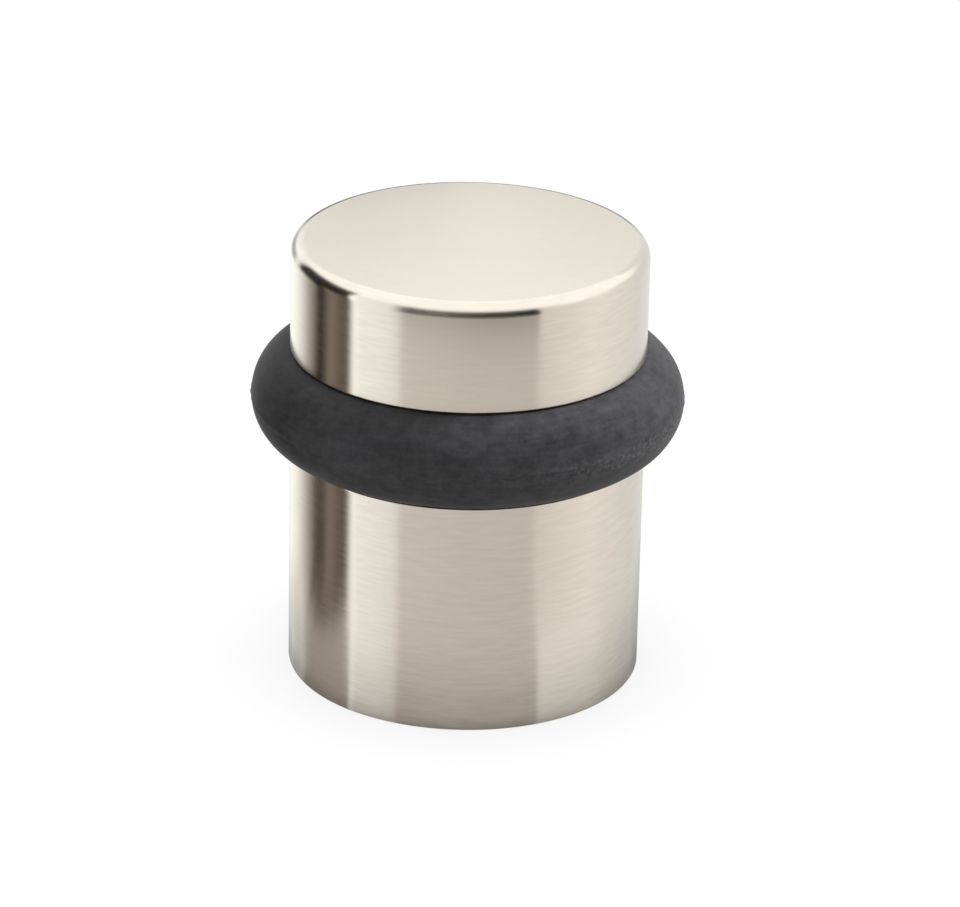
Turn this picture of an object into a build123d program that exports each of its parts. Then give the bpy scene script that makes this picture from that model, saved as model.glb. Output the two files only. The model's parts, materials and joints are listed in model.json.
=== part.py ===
from build123d import *
import math
import os

# Sizes in millimetres. Z is the axis of the stop and points up, and the floor is at Z = 0.

# Turned body
body_diameter = 35.0
body_height = 44.5
top_edge_radius = 1.3
base_edge_radius = 0.4

# Rubber ring, moulded in two halves that meet at its equator
ring_section = 9.8
ring_projection = 3.8  # how far the rubber stands out from the side of the body
ring_below_top = 15.95  # centre of its section below the top of the body
mould_bead_radius = 0.35
mould_bead_proud = 0.12

# Groove that holds the ring
ring_seat_gap = 0.05  # all round the section
groove_lip_radius = 0.15

# Underside: a relief leaves a rim to stand on, and a tapped hole takes the stud
base_rim_width = 3.0
base_relief_depth = 0.6
relief_corner_radius = 0.3
tap_drill_diameter = 6.8  # for a thread of 8 mm
tapped_depth = 20.0
mouth_widening = 1.1  # of the radius
mouth_angle = 90.0
drill_point_angle = 118.0

body_radius = body_diameter / 2
section_radius = ring_section / 2
ring_height = body_height - ring_below_top
section_centre = body_radius + ring_projection - section_radius
groove_radius = section_radius + ring_seat_gap
relief_radius = body_radius - base_rim_width
tap_drill_radius = tap_drill_diameter / 2
drill_point_height = tap_drill_radius / math.tan(math.radians(drill_point_angle / 2))
same_size = 1e-6  # closer than this, two sizes are the same


def rim_edges(height):
    """Circular edges of the body at its full radius and at one height."""
    circles = stop_body.edges().filter_by(GeomType.CIRCLE)
    rims = circles.filter_by(lambda edge: abs(edge.radius - body_radius) < same_size)
    return rims.filter_by(lambda edge: abs(edge.center().Z - height) < same_size)


with BuildPart() as stop_body:
    # Bar turned to size
    with BuildSketch(Plane.XY):
        Circle(body_radius)
    extrude(amount=body_height)

    # Groove with a full-radius floor and parallel walls, turned in from the side
    with BuildSketch(Plane.XZ):
        with Locations((section_centre, ring_height)):
            Circle(groove_radius)
            Rectangle(body_radius, 2 * groove_radius, align=(Align.MIN, Align.CENTER))
    revolve(axis=Axis.Z, mode=Mode.SUBTRACT)

    # Relief in the underside
    with BuildSketch(Plane.XY):
        Circle(relief_radius)
    extrude(amount=base_relief_depth, mode=Mode.SUBTRACT)
    relief_edge = stop_body.edges().filter_by(GeomType.CIRCLE).group_by(Axis.Z)[1]
    fillet(relief_edge, radius=relief_corner_radius)

    # Tapped hole, drilled from below, with its mouth opened for the thread to start
    with Locations(Plane(origin=(0, 0, base_relief_depth), x_dir=(1, 0, 0), z_dir=(0, 0, -1))):
        CounterSinkHole(
            radius=tap_drill_radius,
            counter_sink_radius=tap_drill_radius + mouth_widening,
            depth=tapped_depth,
            counter_sink_angle=mouth_angle,
        )
    with Locations((0, 0, base_relief_depth + tapped_depth)):
        Cone(
            bottom_radius=tap_drill_radius,
            top_radius=0,
            height=drill_point_height,
            align=(Align.CENTER, Align.CENTER, Align.MIN),
            mode=Mode.SUBTRACT,
        )

    # Broken corners: rounded at the top, at the foot and at both lips of the groove
    fillet(rim_edges(body_height), radius=top_edge_radius)
    fillet(rim_edges(0), radius=base_edge_radius)
    for lip_height in (ring_height - groove_radius, ring_height + groove_radius):
        fillet(rim_edges(lip_height), radius=groove_lip_radius)

stop_body.part.label = "stop_body"

with BuildPart() as bumper_ring:
    # Round section with a low bead where the mould halves met, swept round the axis
    with BuildSketch(Plane.XZ):
        with Locations((section_centre, ring_height)):
            Circle(section_radius)
            with Locations((section_radius + mould_bead_proud - mould_bead_radius, 0)):
                Circle(mould_bead_radius)
    revolve(axis=Axis.Z)

bumper_ring.part.label = "bumper_ring"

os.makedirs("parts", exist_ok=True)
export_step(stop_body.part, "parts/stop_body.step")
export_step(bumper_ring.part, "parts/bumper_ring.step")

for piece in (stop_body.part, bumper_ring.part):
    box = piece.bounding_box()
    print(piece.label, round(piece.volume, 1), "mm3", box.min, box.max, "valid", piece.is_valid)
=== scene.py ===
import json
import math

import bpy
import numpy as np
from mathutils import Matrix, Vector


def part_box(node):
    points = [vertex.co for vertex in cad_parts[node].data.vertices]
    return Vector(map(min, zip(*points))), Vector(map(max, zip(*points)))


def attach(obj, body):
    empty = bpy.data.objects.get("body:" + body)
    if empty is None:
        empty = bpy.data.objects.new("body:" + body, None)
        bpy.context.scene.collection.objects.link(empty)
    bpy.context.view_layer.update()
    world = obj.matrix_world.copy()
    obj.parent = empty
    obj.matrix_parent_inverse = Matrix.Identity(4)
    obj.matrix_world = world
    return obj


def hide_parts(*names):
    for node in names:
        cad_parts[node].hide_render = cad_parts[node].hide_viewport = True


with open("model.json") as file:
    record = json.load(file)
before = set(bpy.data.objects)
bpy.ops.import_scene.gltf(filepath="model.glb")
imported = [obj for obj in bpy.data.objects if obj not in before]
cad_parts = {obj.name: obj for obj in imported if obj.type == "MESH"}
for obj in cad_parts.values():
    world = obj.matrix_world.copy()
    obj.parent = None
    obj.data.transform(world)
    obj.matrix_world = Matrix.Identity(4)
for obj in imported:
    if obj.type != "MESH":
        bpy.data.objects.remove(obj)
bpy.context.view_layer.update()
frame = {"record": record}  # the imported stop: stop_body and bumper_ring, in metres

mm = 0.001
white = (1.0, 1.0, 1.0, 1.0)
bodyLow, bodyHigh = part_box("stop_body")
ringLow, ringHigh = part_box("bumper_ring")
ringMid = (ringLow.z + ringHigh.z) / 2
ringSection = (ringHigh.z - ringLow.z) / 2
fixing = next(mount for mount in frame["record"]["mounts"] if mount["name"] == "floor_fixing")


# Shader maths

class Wire:  # one shader socket; arithmetic on it adds Math nodes
    def __init__(self, graph, socket):
        self.graph = graph
        self.socket = socket

    def math(self, operation, first, second=0.0):
        return self.graph.node("ShaderNodeMath", {"operation": operation}, {0: first, 1: second})

    def __add__(self, other):
        return self.math("ADD", self, other)

    def __radd__(self, other):
        return self.math("ADD", other, self)

    def __sub__(self, other):
        return self.math("SUBTRACT", self, other)

    def __rsub__(self, other):
        return self.math("SUBTRACT", other, self)

    def __mul__(self, other):
        return self.math("MULTIPLY", self, other)

    def __rmul__(self, other):
        return self.math("MULTIPLY", other, self)

    def __truediv__(self, other):
        return self.math("DIVIDE", self, other)

    def __pow__(self, other):
        return self.math("POWER", self, other)


class Graph:  # the node tree of a material or of the world
    def __init__(self, owner):
        owner.use_nodes = True
        self.tree = owner.node_tree
        self.tree.nodes.clear()

    def node(self, kind, settings=None, inputs=None, output=0):
        made = self.tree.nodes.new(kind)
        for name, value in (settings or {}).items():
            if name == "stops":
                self.setStops(made.color_ramp, value)
            else:
                setattr(made, name, value)
        for name, value in (inputs or {}).items():
            if isinstance(value, Wire):
                self.tree.links.new(value.socket, made.inputs[name])
            else:
                made.inputs[name].default_value = value
        return Wire(self, made.outputs[output]) if made.outputs else made

    def setStops(self, ramp, stops):
        while len(ramp.elements) < len(stops):
            ramp.elements.new(0.5)
        for element, (place, colour) in zip(ramp.elements, stops):
            element.position = place
            element.color = (*colour, 1.0)

    def point(self):  # Object coordinates, in metres
        return self.node("ShaderNodeTexCoord", output="Object")

    def part(self, vector, axis):
        return self.node("ShaderNodeSeparateXYZ", inputs={0: vector}, output=axis)

    def aboutAxis(self, point):  # X, Y and the distance from the axis
        across = self.part(point, 0)
        along = self.part(point, 1)
        return across, along, (across * across + along * along) ** 0.5

    def noise(self, point, size, detail, roughness=0.5):  # size: grain along X, Y and Z, in mm
        scaled = self.node(
            "ShaderNodeVectorMath",
            {"operation": "MULTIPLY"},
            {0: point, 1: [1 / (s * mm) for s in size]},
        )
        return self.node(
            "ShaderNodeTexNoise",
            {"noise_dimensions": "3D"},
            {"Vector": scaled, "Scale": 1.0, "Detail": detail, "Roughness": roughness},
        )

    def noises(self, point, table):  # one noise for each row of a table
        return {name: self.noise(point, *row) for name, row in table.items()}

    def sway(self, value, noises, weights):  # a value that wanders with some of the noises
        for name, weight in weights.items():
            value = value + weight * (noises[name] - 0.5)
        return value

    def step(self, value, low, high):  # 0 below low, 1 above high, smooth between
        return self.node(
            "ShaderNodeMapRange",
            {"interpolation_type": "SMOOTHSTEP", "clamp": True},
            {"Value": value, "From Min": low, "From Max": high, "To Min": 0.0, "To Max": 1.0},
        )

    def tint(self, colour, level):  # a colour times a number
        return self.node("ShaderNodeVectorMath", {"operation": "SCALE"}, {0: colour, "Scale": level})

    def mix(self, share, first, second):  # two colours
        return self.node(
            "ShaderNodeMix",
            {"data_type": "RGBA"},
            {0: share, 6: first, 7: second},
            output=2,
        )

    def bump(self, height, strength, distance):
        return self.node(
            "ShaderNodeBump",
            inputs={"Strength": strength, "Distance": distance * mm, "Height": height},
        )

    def surface(self, shader):
        self.node("ShaderNodeOutputMaterial", inputs={"Surface": shader})


def newMaterial(name):
    material = bpy.data.materials.new(name)
    return material, Graph(material)


# Finishes

sideFinish = {
    "colour": (0.80, 0.75, 0.66),
    "roughness": 0.18,
    "anisotropy": 0.97,
    "quarterTurn": 0.25,  # brush lines run round the body, so gloss spreads up and down
    "noises": {  # grain along X, Y and Z in mm, then detail
        "streak": ((2.6, 2.6, 0.36), 3.0),
        "hairline": ((3.0, 3.0, 0.10), 2.0),
        "cloud": ((9.0, 9.0, 3.0), 1.0),
    },
    "toneSway": {"streak": 0.18, "hairline": 0.08, "cloud": 0.04},
    "roughSway": {"streak": 0.10, "hairline": 0.06},
    "bump": (0.05, 0.02),  # strength, then depth in mm
}


def satinSide():  # metal brushed on the lathe: fine lines round the axis
    s = sideFinish
    material, g = newMaterial("satinNickelSide")
    noises = g.noises(g.point(), s["noises"])
    shader = g.node("ShaderNodeBsdfPrincipled", inputs={
        "Base Color": g.tint(s["colour"], g.sway(1.0, noises, s["toneSway"])),
        "Metallic": 1.0,
        "Roughness": g.sway(s["roughness"], noises, s["roughSway"]),
        "Anisotropic": s["anisotropy"],
        "Anisotropic Rotation": s["quarterTurn"],
        "Normal": g.bump(noises["hairline"] + noises["streak"], *s["bump"]),
    })
    g.surface(shader)
    return material


topFinish = {
    "colour": (0.764, 0.713, 0.614),
    "roughness": 0.30,
    "noises": {
        "grain": ((1.2, 0.16, 1.0), 3.0),
        "cloud": ((7.0, 5.0, 5.0), 1.0),
    },
    "toneSway": {"grain": 0.09, "cloud": 0.05},
    "roughSway": {"grain": 0.10},
    "bump": (0.10, 0.02),
}


def satinTop():  # flat top, finished with a fine straight grain
    s = topFinish
    material, g = newMaterial("satinNickelTop")
    noises = g.noises(g.point(), s["noises"])
    shader = g.node("ShaderNodeBsdfPrincipled", inputs={
        "Base Color": g.tint(s["colour"], g.sway(1.0, noises, s["toneSway"])),
        "Metallic": 1.0,
        "Roughness": g.sway(s["roughness"], noises, s["roughSway"]),
        "Normal": g.bump(noises["grain"], *s["bump"]),
    })
    g.surface(shader)
    return material


underFinish = {
    "colour": (0.74, 0.68, 0.59),
    "roughness": 0.36,
    "toolMark": 0.18,  # feed of the turning tool, mm
    "markWander": 0.5,  # in tool marks
    "markTone": 0.16,
    "noises": {"wander": ((3.0, 3.0, 3.0), 2.0)},
    "toneSway": {"wander": 0.06},
    "roughSway": {"wander": 0.08},
    "bump": (0.35, 0.03),
}


def turnedUnder():  # underside and bore: concentric marks of the turning tool
    s = underFinish
    material, g = newMaterial("turnedUnderside")
    at = g.point()
    radius = g.aboutAxis(at)[2]
    noises = g.noises(at, s["noises"])
    turn = radius / (s["toolMark"] * mm) + s["markWander"] * noises["wander"]
    halfMark = 0.5  # the wave rises and falls once in a tool mark
    mark = turn.math("PINGPONG", turn, halfMark)
    tone = 1.0 + s["markTone"] * (mark - halfMark / 2)
    shader = g.node("ShaderNodeBsdfPrincipled", inputs={
        "Base Color": g.tint(s["colour"], g.sway(tone, noises, s["toneSway"])),
        "Metallic": 1.0,
        "Roughness": g.sway(s["roughness"], noises, s["roughSway"]),
        "Normal": g.bump(mark, *s["bump"]),
    })
    g.surface(shader)
    return material


rubberFinish = {
    "colour": (0.043, 0.0435, 0.047),
    "roughness": 0.58,
    "gloss": 0.25,
    "wrapped": {"streak": ((2.6, 2.6, 0.55), 3.0)},  # long way round the ring, short round its section
    "noises": {  # grain along X, Y and Z in mm, then detail and roughness
        "cloud": ((8.0, 8.0, 4.0), 2.0),
        "mottle": ((1.3, 1.3, 1.3), 4.0, 0.6),
        "grain": ((0.25, 0.25, 0.25), 2.0),
        "fleck": ((0.45, 0.45, 0.36), 2.0),
    },
    "toneSway": {"streak": 0.9, "mottle": 1.6, "grain": 0.4, "cloud": 0.9},
    "roughSway": {"mottle": 0.16, "streak": 0.10},
    "grainRise": 0.5,  # against the mottle
    "streakRise": 0.7,
    "bump": (0.30, 0.06),
    # lighter colour of the torn flecks, partly torn flash and partly painted highlight
    "torn": (0.105, 0.105, 0.109),
    "tornHalf": 1.7,  # half width of the torn band, mm
    "tornBelow": 0.4,  # middle of that band below the equator, mm
    "tornSide": (2.0, 15.0),  # X over which the torn flecks take a painted highlight, growing towards the lit right side, mm
    # share of the painted highlight that the flecks keep on the unlit left
    "tornLeast": 0.25,
    "tornFleck": (0.47, 0.76),  # flecks above this are torn
}


def blackRubber():  # moulded rubber: mottled, streaked round the ring, torn flash at its equator, with a painted highlight on the right
    s = rubberFinish
    material, g = newMaterial("blackRubber")
    at = g.point()
    across, along, radius = g.aboutAxis(at)
    height = g.part(at, 2) - ringMid
    middle = ringHigh.x - ringSet["bead"] * mm - ringSection
    slant = height.math("ARCTAN2", height, radius - middle)
    wrapped = g.node("ShaderNodeCombineXYZ", inputs={
        0: across / radius * middle,
        1: along / radius * middle,
        2: slant * ringSection,
    })
    noises = {**g.noises(wrapped, s["wrapped"]), **g.noises(at, s["noises"])}
    offSeam = height + s["tornBelow"] * mm
    offSeam = offSeam.math("ABSOLUTE", offSeam)
    seam = 1.0 - g.step(offSeam, 0.0, s["tornHalf"] * mm)
    # painted highlight: the torn flecks grow lighter towards the lit right side
    side = s["tornLeast"] + (1 - s["tornLeast"]) * g.step(across, *[x * mm for x in s["tornSide"]])
    torn = seam * side * g.step(noises["fleck"], *s["tornFleck"])
    whole = g.tint(s["colour"], g.sway(1.0, noises, s["toneSway"]))
    rise = s["grainRise"] * noises["grain"] + noises["mottle"] + s["streakRise"] * noises["streak"]
    shader = g.node("ShaderNodeBsdfPrincipled", inputs={
        "Base Color": g.mix(torn, whole, (*s["torn"], 1.0)),
        "Roughness": g.sway(s["roughness"], noises, s["roughSway"]),
        "Specular IOR Level": s["gloss"],
        "Normal": g.bump(rise, *s["bump"]),
    })
    g.surface(shader)
    return material


# Shapes

def line(start, end, count):  # straight stretch of a profile, both ends included
    share = np.linspace(0.0, 1.0, count)[:, None]
    return (1 - share) * np.array(start) + share * np.array(end)


def arc(centre, radius, fromDeg, toDeg, count):  # round stretch of a profile, angles from outward
    angle = np.radians(np.linspace(fromDeg, toDeg, count))
    return np.array(centre) + radius * np.stack([np.cos(angle), np.sin(angle)], axis=1)


def meshPiece(name, points, faces, materials, faceMaterial=None, creaseDeg=32.0):
    mesh = bpy.data.meshes.new(name)
    mesh.from_pydata(points.tolist(), [], faces)
    mesh.polygons.foreach_set("use_smooth", np.ones(len(mesh.polygons), dtype=bool))
    for material in materials:
        mesh.materials.append(material)
    if faceMaterial is not None:
        mesh.polygons.foreach_set("material_index", faceMaterial)
    mesh.set_sharp_from_angle(angle=math.radians(creaseDeg))
    mesh.update()
    piece = bpy.data.objects.new(name, mesh)
    bpy.context.scene.collection.objects.link(piece)
    return piece


bodySet = {
    "topEdge": 1.3,  # rounding of the top edge, mm
    "footEdge": 0.4,
    "lipEdge": 0.15,
    "seatGap": 0.05,
    "rim": 3.0,
    "relief": 0.6,
    "reliefCorner": 0.3,
    "mouth": 1.1,
    "mouthEdge": 0.02,  # row just outside the mouth
    "pitch": 1.25,
    "threadDepth": 0.61,
    "crestFlat": 0.22,  # flats of the thread, in pitches
    "rootFlat": 0.12,
    "runOut": 2.0,  # pitches over which the tap leaves the wall
    "drillPoint": 118.0,  # degrees
    "support": 0.06,  # row beside a rounding that keeps its neighbour flat
    "around": 208,
    "rowsPerPitch": 10,
    "rows": {
        "top": 14, "topEdge": 17, "upperSide": 10, "lip": 9, "grooveWall": 3, "groove": 33,
        "lowerSide": 16, "footEdge": 9, "rim": 5, "reliefCorner": 7, "relief": 8, "point": 7,
    },
}


def threadedBore(low, high, drill, mouth):
    # Radius over height and turn: the larger of the countersunk mouth and a 60-degree thread whose
    # triangle wave climbs one pitch a turn and dies away before the end of the bore.
    s = bodySet
    turn = np.linspace(0, 2 * math.pi, s["around"], endpoint=False)[None, :]
    height = np.arange(low, high, s["pitch"] / s["rowsPerPitch"])[:, None]
    wave = 1 - np.abs(2 * np.mod(height / s["pitch"] - turn / (2 * math.pi), 1.0) - 1)
    flank = np.clip((wave - s["crestFlat"]) / (1 - s["crestFlat"] - s["rootFlat"]), 0, 1)
    fade = np.clip((high - height) / (s["runOut"] * s["pitch"]), 0, 1)
    cone = drill + mouth - (height - low)
    return np.maximum(drill + s["threadDepth"] * flank * fade, cone), height


def stopBody():
    # A profile of radius and height, from the middle of the top over the side and the foot into the
    # bore, carried round the axis; in the bore the radius also changes with the turn.
    s = bodySet
    count = s["rows"]
    beside = s["support"]
    outer = bodyHigh.x / mm
    top = bodyHigh.z / mm
    mid = ringMid / mm
    section = ringSection / mm
    ringCentre = ringHigh.x / mm - ringSet["bead"] - section
    groove = section + s["seatGap"]
    wallHigh = mid + groove
    wallLow = mid - groove
    lip = s["lipEdge"]
    topEdge = s["topEdge"]
    footEdge = s["footEdge"]
    reliefEdge = outer - s["rim"]
    corner = s["reliefCorner"]
    drill = fixing["dims"]["r_mm"]
    mouthEdge = drill + s["mouth"] + s["mouthEdge"]
    boreEnd = s["relief"] + s["mouth"] + fixing["dims"]["length_mm"]
    point = drill / math.tan(math.radians(s["drillPoint"] / 2))

    topRows = line((0.0, top), (outer - topEdge - beside, top), count["top"])
    sideRows = np.concatenate([
        arc((outer - topEdge, top - topEdge), topEdge, 90, 0, count["topEdge"]),
        line((outer, top - topEdge - beside), (outer, wallHigh + lip + beside), count["upperSide"]),
        arc((outer - lip, wallHigh + lip), lip, 0, -90, count["lip"]),
        line((outer - lip - beside, wallHigh), (ringCentre, wallHigh), count["grooveWall"])[:-1],
        arc((ringCentre, mid), groove, 90, 270, count["groove"]),
        line((ringCentre, wallLow), (outer - lip - beside, wallLow), count["grooveWall"])[1:],
        arc((outer - lip, wallLow - lip), lip, 90, 0, count["lip"]),
        line((outer, wallLow - lip - beside), (outer, footEdge + beside), count["lowerSide"]),
        arc((outer - footEdge, footEdge), footEdge, 0, -90, count["footEdge"]),
    ])
    footRows = np.concatenate([
        line((outer - footEdge - beside, 0.0), (reliefEdge, 0.0), count["rim"]),
        arc((reliefEdge - corner, s["relief"] - corner), corner, 0, 90, count["reliefCorner"]),
        line((reliefEdge - corner - beside, s["relief"]), (mouthEdge, s["relief"]), count["relief"]),
    ])
    boreRadius, boreHeight = threadedBore(s["relief"], boreEnd, drill, s["mouth"])
    pointRows = line((drill, boreEnd), (0.0, boreEnd + point), count["point"])

    n = s["around"]
    turn = np.linspace(0, 2 * math.pi, n, endpoint=False)[None, :]
    plain = np.concatenate([topRows, sideRows, footRows])[:, :, None]
    ones = np.ones_like(turn)
    radius = np.concatenate([plain[:, 0] * ones, boreRadius, pointRows[:, 0:1] * ones])
    height = np.concatenate([plain[:, 1] * ones, boreHeight * ones, pointRows[:, 1:2] * ones])
    rows = len(radius)
    grid = np.stack([radius * np.sin(turn), -radius * np.cos(turn), height], axis=-1) * mm
    points = np.concatenate([grid[:1, 0], grid[1:-1].reshape(-1, 3), grid[-1:, 0]])

    ring = np.arange(n)
    after = np.roll(ring, -1)
    start = 1 + n * np.arange(rows - 3)[:, None]
    quads = np.stack([start + ring, start + n + ring, start + n + after, start + after], -1)
    last = 1 + n * (rows - 3)
    capTop = np.stack([0 * ring, 1 + ring, 1 + after], -1)
    capEnd = np.stack([last + ring, np.full_like(ring, len(points) - 1), last + after], -1)
    faces = capTop.tolist() + quads.reshape(-1, 4).tolist() + capEnd.tolist()

    materials = [satinSide(), satinTop(), turnedUnder()]
    zone = np.full(rows - 1, 2)
    zone[:len(topRows) + len(sideRows) - 1] = 0
    zone[:len(topRows)] = 1
    return meshPiece("stopBody", points, faces, materials, np.repeat(zone, n).astype(np.int32))


ringSet = {
    "bead": 0.12,  # height of the moulding bead, mm
    "beadHalf": 0.20,
    "wave": 0.015,  # wander of the surface, mm
    "slowWaves": [(3, 2, 1.0), (7, -3, 0.0), (11, 5, 2.0)],  # round the ring, round its section, phase
    "seed": 11,
    "raggedWaves": 24,
    "raggedRange": (3, 90),  # waves round the ring
    "raggedMean": 0.55,  # of the bead's height
    "raggedSwing": 0.30,
    "raggedLeast": 0.15,
    "gather": 0.65,  # how far the rows gather at the outer equator
    "around": 480,
    "across": 112,
}


def bumperRing():
    # A circle carried round the axis. A bell-shaped bead stands on its outer equator, ragged round
    # the ring, and the whole surface wanders by hundredths of a millimetre.
    s = ringSet
    section = ringSection / mm
    centre = ringHigh.x / mm - s["bead"] - section
    turn = np.linspace(0, 2 * math.pi, s["around"], endpoint=False)[None, :]
    share = np.linspace(-1, 1, s["across"], endpoint=False)[:, None]
    tilt = math.pi * ((1 - s["gather"]) * share + s["gather"] * share ** 3)
    draw = np.random.default_rng(s["seed"])
    waves = draw.integers(*s["raggedRange"], s["raggedWaves"])[:, None]
    phases = draw.uniform(0, 2 * math.pi, (s["raggedWaves"], 1))
    ragged = np.sin(waves * turn + phases).sum(axis=0, keepdims=True) / s["raggedWaves"] ** 0.5
    raised = s["bead"] * np.clip(s["raggedMean"] + s["raggedSwing"] * ragged, s["raggedLeast"], 1.0)
    bell = np.exp(-(section * tilt / s["beadHalf"]) ** 2)
    slow = sum(np.sin(turns * turn + tilts * tilt + phase) for turns, tilts, phase in s["slowWaves"])
    reach = section + raised * bell - s["wave"] * (1 + slow / len(s["slowWaves"]))
    radius = centre + reach * np.cos(tilt)
    height = ringMid / mm + reach * np.sin(tilt)
    points = np.stack([radius * np.sin(turn), -radius * np.cos(turn), height], axis=-1) * mm

    n = s["around"]
    i = np.arange(s["across"])[:, None]
    j = np.arange(n)[None, :]
    below = (i + 1) % s["across"]
    after = (j + 1) % n
    quads = np.stack([i * n + j, i * n + after, below * n + after, below * n + j], -1)
    faces = quads.reshape(-1, 4).tolist()
    return meshPiece("bumperRing", points.reshape(-1, 3), faces, [blackRubber()])


body = stopBody()
ring = bumperRing()
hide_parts("stop_body")
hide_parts("bumper_ring")
for piece in (body, ring):
    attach(piece, "root")
    print(piece.name, len(piece.data.vertices), "points")


# Studio

floorSet = {
    "half": 1600.0,  # half its width, mm
    "drop": 0.01,  # mm below the foot
    "paper": 0.45,
    "white": 1.0,
    "shade": 0.17,  # darkest under the stop
    "reach": 9.0,  # of that shade, mm
    "samples": 16,
}


def seenRays(g):  # 1 for what the eye sees, straight, in metal or through glass
    rays = ("Is Camera Ray", "Is Glossy Ray", "Is Transmission Ray")
    camera, glossy, passing = [g.node("ShaderNodeLightPath", output=ray) for ray in rays]
    return camera + glossy + passing


def paperFloor():
    # A square of paper: plain to the light, and to the eye and in metal white with the stop's own shade.
    s = floorSet
    material, g = newMaterial("paperFloor")
    openness = g.node(
        "ShaderNodeAmbientOcclusion",
        {"samples": s["samples"]},
        {"Distance": s["reach"] * mm},
        output="AO",
    )
    light = g.tint(white[:3], s["white"] - s["shade"] * (1.0 - openness))
    plain = g.node("ShaderNodeBsdfDiffuse", inputs={"Color": (*[s["paper"]] * 3, 1.0)})
    bright = g.node("ShaderNodeEmission", inputs={"Color": light})
    g.surface(g.node("ShaderNodeMixShader", inputs={0: seenRays(g), 1: plain, 2: bright}))
    corners = s["half"] * np.array([(-1, -1, 0), (1, -1, 0), (1, 1, 0), (-1, 1, 0)])
    floor = meshPiece("floor", (corners - [0, 0, s["drop"]]) * mm, [(0, 1, 2, 3)], [material])


noStart = (-201, -200)  # borders beyond the wall, for a field that runs on
noEnd = (200, 201)
wallSet = {
    "radius": 38.0,
    "height": 120.0,
    "around": 240,
    # light round the stop: degrees from the camera, right positive, then level and warmth
    "tones": [
        (-180, 1.02, 0.0), (-158, 0.93, 0.0), (-144, 1.00, 0.0), (-130, 1.18, 0.0), (-118, 1.08, 0.2),
        (-108, 0.78, 0.4), (-101, 0.46, 1.0), (-95, 0.26, 2.0), (-91, 0.08, 2.8), (-88, 0.01, 2.8),
        (-85, 0.06, 2.8), (-80, 0.24, 2.6), (-77, 0.24, 2.6), (-71, 0.14, 2.8), (-65, 0.12, 2.4),
        (-62.6, 1.00, 0.4), (-61, 1.30, 0.0), (-57.5, 1.04, 0.0), (-45, 0.98, 0.0), (-36, 0.89, 0.2),
        (-32, 0.71, 0.7), (-10, 0.67, 0.8), (0, 0.655, 0.8), (33, 0.64, 0.8), (37.5, 0.76, 0.7),
        (50, 0.84, 0.6), (68, 0.93, 0.5), (90, 0.86, 0.3), (110, 0.79, 0.1), (138, 0.82, 0.0),
        (156, 0.97, 0.0), (180, 1.02, 0.0),
    ],
    # darker and lighter fields on it, each from none to all of it: degrees where it starts and ends,
    # height where it starts and ends, then level and warmth
    "fields": [
        ((-130, -126), (126, 130), (57, 66), noEnd, 1.22, 0.0),  # bright crown at the sides
        (noStart, noEnd, (67, 71), noEnd, 1.22, 0.0),  # and at the back
        ((36, 60), (110, 132), (50, 59), noEnd, 1.22, 0.0),  # lower to the right
        ((-113, -106), (-65, -62.6), (37, 42), (57, 62), 0.02, 2.0),  # hem of the dark flag
        ((-95, -90), (-86, -81), (-1, 0), (14, 26), 0.09, 2.7),  # paler low in the flag
        ((-41, -29), (32.5, 36), (34.5, 38.5), (53, 59), 0.12, 1.0),  # opening for the lens
        ((-20, 18), (32.5, 36), (34.5, 38.5), (53, 59), 0.0, 1.0),  # darker to the right
        ((139, 158), noEnd, (38, 41), (48, 51), 0.08, 0.0),  # gap behind
        (noStart, (-152, -138), (38, 41), (48, 51), 0.06, 0.0),
        ((-179, -174), (-165, -152), (38, 41), (49, 52), 0.0, 0.0),  # darkest to the left
        ((-146, -136), (-122, -114), (37, 40), (46.5, 49.5), 0.46, 0.0),  # paler at the left end
        ((-109, -100), (-65, -62.6), noStart, (-1, 0), 0.55, 1.2),  # floor before the flag
        ((-136, -121), (-117, -98), noStart, (-4, -1), 0.92, 0.3),  # and beyond the flag
        ((-101, -96), (-75, -67), (-7, -6), (0, 1), 0.17, 2.6),  # round end of the flag on the floor
        ((-96, -91), (-84, -77), (-10, -8.5), (-6.5, -6), 0.13, 2.6),
        ((-34.5, -30.5), (37, 41), noStart, (-1, 0), 0.65, 0.8),  # floor in front
        ((37, 41), (70, 90), noStart, (-1, 0), 0.98, 0.3),  # and to the right
        ((120, 138), (156, 170), noStart, (-4, 4), 0.70, 0.1),
    ],
    "warmGreen": 0.07,  # lost at a warmth of 1
    "warmBlue": 0.115,
    # floor columns lean towards the camera, so that the metal sees each below its own stretch of
    # wall: degrees at the wall and at the foot of the stop
    "footTurns": [(0, 0), (31, 20), (80, 50.4), (115, 70.3), (150, 88.5), (180, 180)],
    "lean": 1.35,  # how much of that turn is near the foot
    "floorDown": 24.0,  # the floor counts as this far below the wall, at the foot of the stop
    "floorBlend": 0.5,  # from floor to wall
    "footLevel": 0.62,
    "contactLevel": 0.40,
    "contactReach": 4.2,
    "wallLow": 0.965,
    "wallHigh": 1.025,
    "wallRise": (-2.0, 28.0),  # heights of those two levels
    "apronRows": 17,
    "apronDrop": 0.005,  # mm below the foot
    "tuck": 2.0,  # how far the apron reaches under the stop
    "seam": 1e-6,  # share of the apron's width between its tucked edge and the foot
    "wallRows": 25,
}


def hideFromAllButGloss(card):
    card.visible_camera = False
    card.visible_diffuse = False
    card.visible_shadow = False
    card.visible_transmission = False


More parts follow.
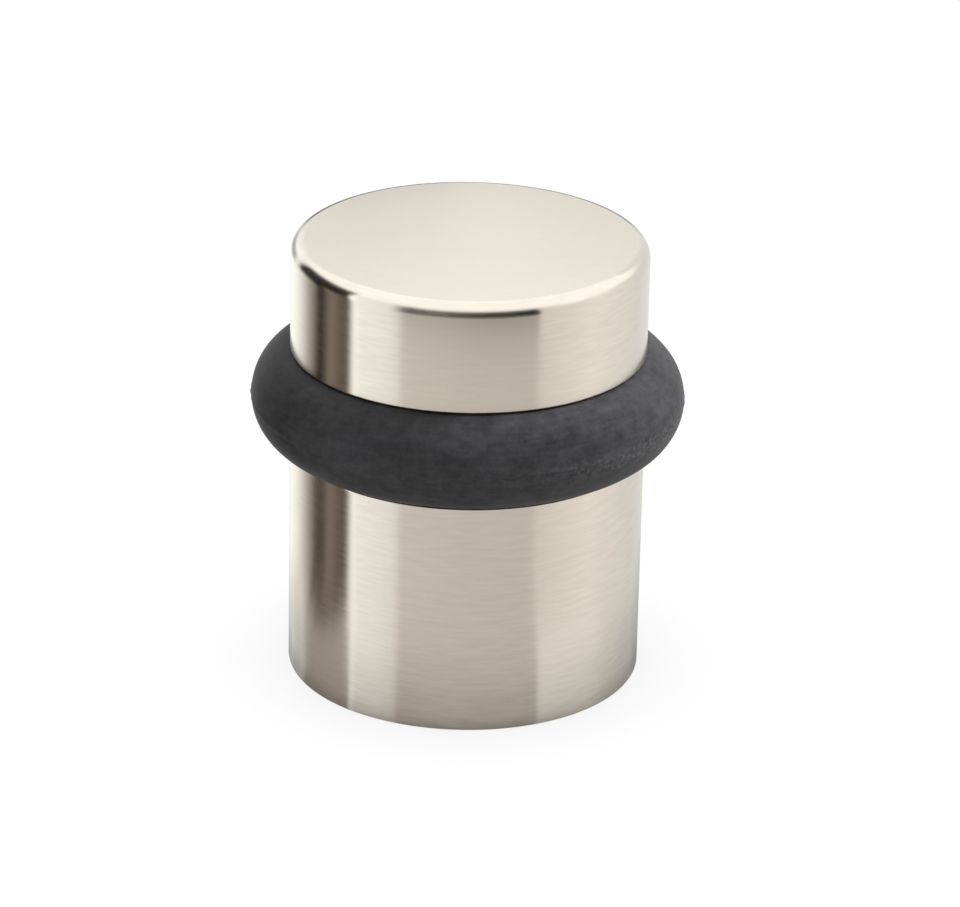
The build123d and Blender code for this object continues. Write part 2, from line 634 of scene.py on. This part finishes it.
def glossCard(name, grid, turn, height, material):  # a grid in mm, with its turn and height as UV
    rows, columns = grid.shape[:2]
    i = np.arange(rows - 1)[:, None] * columns
    j = np.arange(columns - 1)[None, :]
    quads = np.stack([i + j + 1, i + j, i + columns + j, i + columns + j + 1], -1).reshape(-1, 4)
    card = meshPiece(name, grid.reshape(-1, 3) * mm, quads.tolist(), [material])
    uv = np.stack([turn + 0 * height, height + 0 * turn], -1).reshape(-1, 2)
    layer = card.data.uv_layers.new(name="turnAndHeight")
    layer.uv.foreach_set("vector", uv[quads.reshape(-1)].astype(np.float32).reshape(-1))
    hideFromAllButGloss(card)


def warmLight(level, warm):
    return (level, level * (1 - wallSet["warmGreen"] * warm), level * (1 - wallSet["warmBlue"] * warm))


def turnAndHeight(g):  # from a card's UV: degrees from the camera, and mm above the floor
    uv = g.node("ShaderNodeTexCoord", output="UV")
    return g.part(uv, 0), g.part(uv, 1)


def fieldShare(g, turn, up, field):  # 1 inside a field, 0 outside it, smooth at its borders
    start, end, low, high = field[:4]
    across = g.step(turn, *start) * (1.0 - g.step(turn, *end))
    return across * g.step(up, *low) * (1.0 - g.step(up, *high))


def wallMaterial():  # height is below 0 on the floor
    s = wallSet
    material, g = newMaterial("reflectorWall")
    turn, up = turnAndHeight(g)
    stops = [(deg / 360 + 0.5, warmLight(level, warm)) for deg, level, warm in s["tones"]]
    tone = g.node("ShaderNodeValToRGB", {"stops": stops}, {0: turn / 360.0 + 0.5})
    for field in s["fields"]:
        tone = g.mix(fieldShare(g, turn, up, field), tone, (*warmLight(*field[4:]), 1.0))
    onFloor = 1.0 - g.step(up, -s["floorBlend"], 0.0)
    outward = g.step(up, -s["floorDown"], 0.0)
    touching = 1.0 - g.step(up, -s["floorDown"], s["contactReach"] - s["floorDown"])
    shade = s["footLevel"] + (1.0 - s["footLevel"]) * outward
    shade = shade - (s["footLevel"] - s["contactLevel"]) * touching
    level = s["wallLow"] + (s["wallHigh"] - s["wallLow"]) * g.step(up, *s["wallRise"])
    level = level * (1.0 + (shade - 1.0) * onFloor)
    g.surface(g.node("ShaderNodeEmission", inputs={"Color": g.tint(tone, level)}))
    return material


def reflectorWall():
    # A round wall that only gloss can see. Below it a floor apron runs in to the foot of the stop, and
    # its columns turn from their place at the foot to their place at the wall, fastest near the foot.
    s = wallSet
    foot = bodyHigh.x / mm
    turn = np.linspace(-180, 180, s["around"] + 1)[None, :]
    share = np.concatenate([[0.0, s["seam"]], np.linspace(0, 1, s["apronRows"])[1:]])[:, None]
    atWall, atFoot = zip(*s["footTurns"])
    footTurn = np.sign(turn) * np.interp(np.abs(turn), atWall, atFoot)
    turned = (1 + s["lean"]) * share / (1 + s["lean"] * share)
    apronTurn = np.radians(footTurn + (turn - footTurn) * turned)
    apronRadius = foot + share * (s["radius"] - foot) - s["tuck"] * (share == 0)
    apron = np.stack([
        apronRadius * np.sin(apronTurn),
        -apronRadius * np.cos(apronTurn),
        -s["apronDrop"] + 0 * apronTurn,
    ], -1)
    rise = np.linspace(0, s["height"], s["wallRows"])[1:, None]
    wallTurn = np.radians(turn + 0 * rise)
    wall = np.stack([
        s["radius"] * np.sin(wallTurn),
        -s["radius"] * np.cos(wallTurn),
        rise + 0 * wallTurn,
    ], -1)
    height = np.concatenate([s["floorDown"] * (share - 1), rise])
    glossCard("reflectorWall", np.concatenate([apron, wall]), turn, height, wallMaterial())


skySet = {"height": 150.0, "radius": 90.0, "level": 1.22, "sides": 48}


def skyCard():  # soft light straight above, for gloss: a flat disc
    s = skySet
    material, g = newMaterial("skyCard")
    g.surface(g.node("ShaderNodeEmission", inputs={"Color": white, "Strength": s["level"]}))
    turn = np.linspace(0, 2 * math.pi, s["sides"], endpoint=False)
    disc = np.stack([s["radius"] * np.cos(turn), -s["radius"] * np.sin(turn), 0 * turn + s["height"]], -1)
    hideFromAllButGloss(meshPiece("skyCard", disc * mm, [tuple(range(s["sides"]))], [material]))


lampSet = {
    "place": (420.0, 80.0, 400.0),  # mm
    "aim": (0.0, 0.0, 20.0),
    "size": 300.0,
    "power": 4.6,  # watts
}


def keyLamp():  # soft light from the right, not seen in the metal
    s = lampSet
    lamp = bpy.data.lights.new("keyLamp", "AREA")
    lamp.shape = "DISK"
    lamp.size = s["size"] * mm
    lamp.energy = s["power"]
    holder = bpy.data.objects.new("keyLamp", lamp)
    holder.location = Vector(s["place"]) * mm
    holder.rotation_mode = "QUATERNION"
    holder.rotation_quaternion = (Vector(s["aim"]) * mm - holder.location).to_track_quat("-Z", "Y")
    holder.visible_glossy = False
    bpy.context.scene.collection.objects.link(holder)


worldSet = {"fill": 0.50, "white": 1.0}


def softWorld():  # white where it is seen, dimmer as a light
    world = bpy.data.worlds.new("softWorld")
    bpy.context.scene.world = world
    g = Graph(world)
    strength = worldSet["fill"] + (worldSet["white"] - worldSet["fill"]) * seenRays(g)
    sky = g.node("ShaderNodeBackground", inputs={"Color": white, "Strength": strength})
    g.node("ShaderNodeOutputWorld", inputs={"Surface": sky})


paperFloor()
reflectorWall()
skyCard()
keyLamp()
softWorld()


cameraSet = {
    "elevation": 23.14,  # degrees above the floor
    "distance": 490.7,  # mm from the middle of the body
    "focal": 4962.0,  # pixels
    "roll": 1.20,  # degrees
    "frame": (960, 907),  # pixels
    "bodyMiddle": (466.6, 450.7),  # where the middle of the body lands, pixels
    "sensor": 36.0,
    "clipEnd": 10000.0,
}


def photoCamera():
    s = cameraSet
    data = bpy.data.cameras.new("photoCamera")
    data.sensor_width = s["sensor"]
    data.lens = s["focal"] / s["frame"][0] * s["sensor"]
    data.clip_end = s["clipEnd"] * mm
    camera = bpy.data.objects.new("photoCamera", data)
    bpy.context.scene.collection.objects.link(camera)
    tilt = math.radians(s["elevation"])
    roll = math.radians(s["roll"])
    middle = Vector((0, 0, (bodyLow.z + bodyHigh.z) / 2))
    away = Vector((0, -math.cos(tilt), math.sin(tilt)))
    up = Vector((0, math.sin(tilt), math.cos(tilt)))
    camera.location = middle + away * s["distance"] * mm
    offX = s["bodyMiddle"][0] - s["frame"][0] / 2
    offY = s["bodyMiddle"][1] - s["frame"][1] / 2
    perPixel = s["distance"] * mm / s["focal"]
    right = (math.cos(roll) * offX + math.sin(roll) * offY) * perPixel
    down = (math.cos(roll) * offY - math.sin(roll) * offX) * perPixel
    aim = middle - Vector((right, 0, 0)) + up * down
    look = (aim - camera.location).to_track_quat("-Z", "Y").to_matrix().to_4x4()
    camera.matrix_world = Matrix.Translation(camera.location) @ look @ Matrix.Rotation(roll, 4, "Z")
    bpy.context.scene.camera = camera


photoCamera()
bpy.context.scene.view_settings.view_transform = "Standard"
print("studio and camera set")
